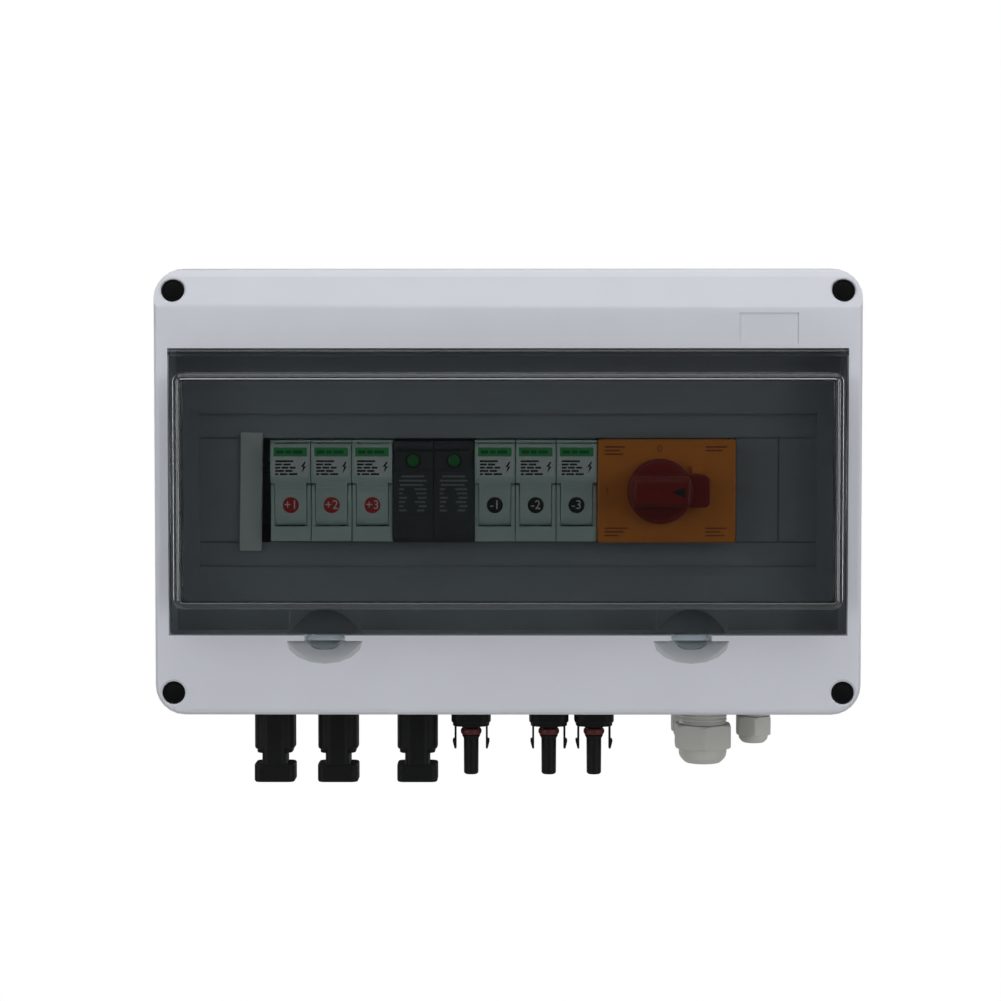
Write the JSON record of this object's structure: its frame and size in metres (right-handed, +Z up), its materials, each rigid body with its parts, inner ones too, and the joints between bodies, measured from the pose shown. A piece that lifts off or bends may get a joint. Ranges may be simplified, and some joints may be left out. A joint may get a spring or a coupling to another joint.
{
  "type": "dc combiner box",
  "caption": "Wall-hung plastic enclosure with a smoked lift-up door over rail-mounted fuse holders, a surge arrester and a rotary isolator, with connectors and glands below.",
  "frame": {"origin": "middle of the flat back face that lies on the wall", "axes": "+X along the width to the right as seen from the front, +Y into the wall, +Z up; the front faces -Y"},
  "size_m": [0.31, 0.115, 0.2351],
  "materials": {
    "shell_grey": "light grey moulded ABS with a fine satin texture",
    "black_rubber": "matt",
    "smoked_clear": "smoked clear polycarbonate, polished",
    "blank_grey": "light grey, satin",
    "zinc_steel": "bright zinc plate",
    "plug_black": "matt black",
    "device_pale": "pale grey green moulding",
    "fuse_ceramic": "white ceramic tube with plated end caps",
    "device_dark": "dark grey moulding",
    "plate_orange": "orange, satin",
    "knob_red": "red, half gloss",
    "connector_black": "black, satin",
    "seal_red": "dark red silicone",
    "gland_grey": "warm grey nylon",
    "copper_bar": "bare copper",
    "brass_bar": "bare brass",
    "wire_red": "red cable sheath",
    "wire_black": "black cable sheath"
  },
  "bodies": {
    "enclosure": {"base_shell": "shell_grey", "cover_seal": "black_rubber", "front_cover": "shell_grey", "blanking_strip": "blank_grey", "din_rail": "zinc_steel", "cover_screw_1": "zinc_steel", "cover_screw_2": "zinc_steel", "cover_screw_3": "zinc_steel", "cover_screw_4": "zinc_steel", "screw_plug_1": "plug_black", "screw_plug_2": "plug_black", "screw_plug_3": "plug_black", "screw_plug_4": "plug_black", "fuse_base_1": "device_pale", "fuse_base_2": "device_pale", "fuse_base_3": "device_pale", "fuse_base_4": "device_pale", "fuse_base_5": "device_pale", "fuse_base_6": "device_pale", "surge_base": "device_dark", "isolator_body": "device_dark", "isolator_plate": "plate_orange", "socket_connector_1": "connector_black", "socket_connector_2": "connector_black", "socket_connector_3": "connector_black", "plug_connector_1": "connector_black", "plug_connector_2": "connector_black", "plug_connector_3": "connector_black", "plug_seal_1": "seal_red", "plug_seal_2": "seal_red", "plug_seal_3": "seal_red", "gland_body_1": "gland_grey", "gland_body_2": "gland_grey", "gland_body_3": "gland_grey", "busbar_positive": "copper_bar", "busbar_negative": "copper_bar", "earth_bar": "brass_bar", "positive_loom": "wire_red", "negative_loom": "wire_black"},
    "door": {"door": "smoked_clear"},
    "carrier_1": {"fuse_carrier_1": "device_pale", "fuse_link_1": "fuse_ceramic"},
    "carrier_2": {"fuse_carrier_2": "device_pale", "fuse_link_2": "fuse_ceramic"},
    "carrier_3": {"fuse_carrier_3": "device_pale", "fuse_link_3": "fuse_ceramic"},
    "carrier_4": {"fuse_carrier_4": "device_pale", "fuse_link_4": "fuse_ceramic"},
    "carrier_5": {"fuse_carrier_5": "device_pale", "fuse_link_5": "fuse_ceramic"},
    "carrier_6": {"fuse_carrier_6": "device_pale", "fuse_link_6": "fuse_ceramic"},
    "cartridge_1": {"surge_cartridge_1": "device_dark"},
    "cartridge_2": {"surge_cartridge_2": "device_dark"},
    "knob": {"isolator_knob": "knob_red", "isolator_shaft": "zinc_steel"},
    "lock_tab": {"knob_lock_tab": "knob_red"},
    "nut_1": {"gland_nut_1": "gland_grey"},
    "nut_2": {"gland_nut_2": "gland_grey"},
    "nut_3": {"gland_nut_3": "gland_grey"}
  },
  "joints": [
    {"name": "door_hinge", "type": "hinge", "parent": "enclosure", "child": "door", "pos_m": [0, -0.0986, 0.06], "axis": [-1, 0, 0], "range_deg": [0, 105]},
    {"name": "carrier_1_swing", "type": "hinge", "parent": "enclosure", "child": "carrier_1", "pos_m": [-0.0958, -0.0772, -0.011], "axis": [1, 0, 0], "range_deg": [0, 85]},
    {"name": "carrier_2_swing", "type": "hinge", "parent": "enclosure", "child": "carrier_2", "pos_m": [-0.0778, -0.0772, -0.011], "axis": [1, 0, 0], "range_deg": [0, 85]},
    {"name": "carrier_3_swing", "type": "hinge", "parent": "enclosure", "child": "carrier_3", "pos_m": [-0.0598, -0.0772, -0.011], "axis": [1, 0, 0], "range_deg": [0, 85]},
    {"name": "carrier_4_swing", "type": "hinge", "parent": "enclosure", "child": "carrier_4", "pos_m": [-0.0058, -0.0772, -0.011], "axis": [1, 0, 0], "range_deg": [0, 85]},
    {"name": "carrier_5_swing", "type": "hinge", "parent": "enclosure", "child": "carrier_5", "pos_m": [0.0122, -0.0772, -0.011], "axis": [1, 0, 0], "range_deg": [0, 85]},
    {"name": "carrier_6_swing", "type": "hinge", "parent": "enclosure", "child": "carrier_6", "pos_m": [0.0302, -0.0772, -0.011], "axis": [1, 0, 0], "range_deg": [0, 85]},
    {"name": "cartridge_1_pull", "type": "slide", "parent": "enclosure", "child": "cartridge_1", "axis": [0, -1, 0], "range_m": [0, 0.028]},
    {"name": "cartridge_2_pull", "type": "slide", "parent": "enclosure", "child": "cartridge_2", "axis": [0, -1, 0], "range_m": [0, 0.028]},
    {"name": "knob_turn", "type": "hinge", "parent": "enclosure", "child": "knob", "pos_m": [0.0666, -0.09, 0], "axis": [0, 1, 0], "range_deg": [0, 90]},
    {"name": "lock_tab_pull", "type": "slide", "parent": "knob", "child": "lock_tab", "axis": [1, 0, 0], "range_m": [0, 0.006]},
    {"name": "nut_1_turn", "type": "hinge", "parent": "enclosure", "child": "nut_1", "pos_m": [0.0903, -0.038, -0.11], "axis": [0, 0, 1], "continuous": true},
    {"name": "nut_2_turn", "type": "hinge", "parent": "enclosure", "child": "nut_2", "pos_m": [0.0856, -0.0125, -0.11], "axis": [0, 0, 1], "continuous": true},
    {"name": "nut_3_turn", "type": "hinge", "parent": "enclosure", "child": "nut_3", "pos_m": [0.1153, -0.025, -0.11], "axis": [0, 0, 1], "continuous": true}
  ]
}
